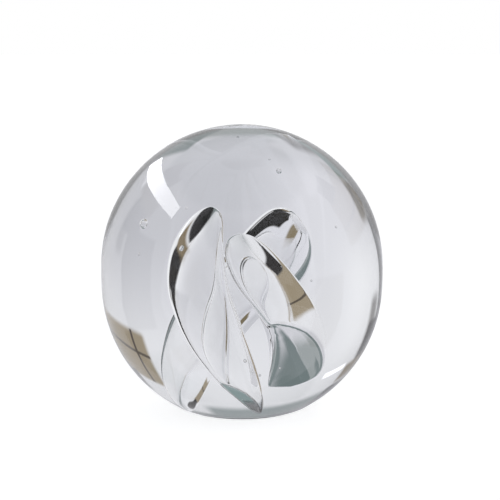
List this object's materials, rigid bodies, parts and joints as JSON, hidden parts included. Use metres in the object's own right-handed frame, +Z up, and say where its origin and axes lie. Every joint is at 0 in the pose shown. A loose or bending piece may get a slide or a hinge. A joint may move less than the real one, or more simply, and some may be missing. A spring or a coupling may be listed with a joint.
{
  "type": "glass ball paperweight",
  "caption": "Solid clear glass ball with a flat ground base and long air pockets twisting around each other inside, to hold paper down on a desk.",
  "frame": {"origin": "middle of the flat ground base, on the desk", "axes": "+Z up the axis of the ball, -Y towards the front, +X to the right seen from the front"},
  "size_m": [0.08, 0.08, 0.0803],
  "materials": {
    "clear_glass": "fire-polished, base ground and polished",
    "trapped_air": "smooth bubble wall"
  },
  "bodies": {
    "root": {"air_twist_back": "trapped_air", "air_twist_left": "trapped_air", "air_twist_right": "trapped_air", "glass_casing": "clear_glass", "glass_core": "clear_glass", "seed_bubble_crown": "trapped_air", "seed_bubble_crown_right": "trapped_air", "seed_bubble_far_left": "trapped_air", "seed_bubble_far_right": "trapped_air", "seed_bubble_front_lower": "trapped_air", "seed_bubble_front_middle": "trapped_air", "seed_bubble_front_right": "trapped_air", "seed_bubble_front_upper": "trapped_air", "seed_bubble_left": "trapped_air", "seed_bubble_right": "trapped_air", "seed_bubble_shoulder": "trapped_air", "seed_bubble_upper": "trapped_air"}
  },
  "joints": []
}
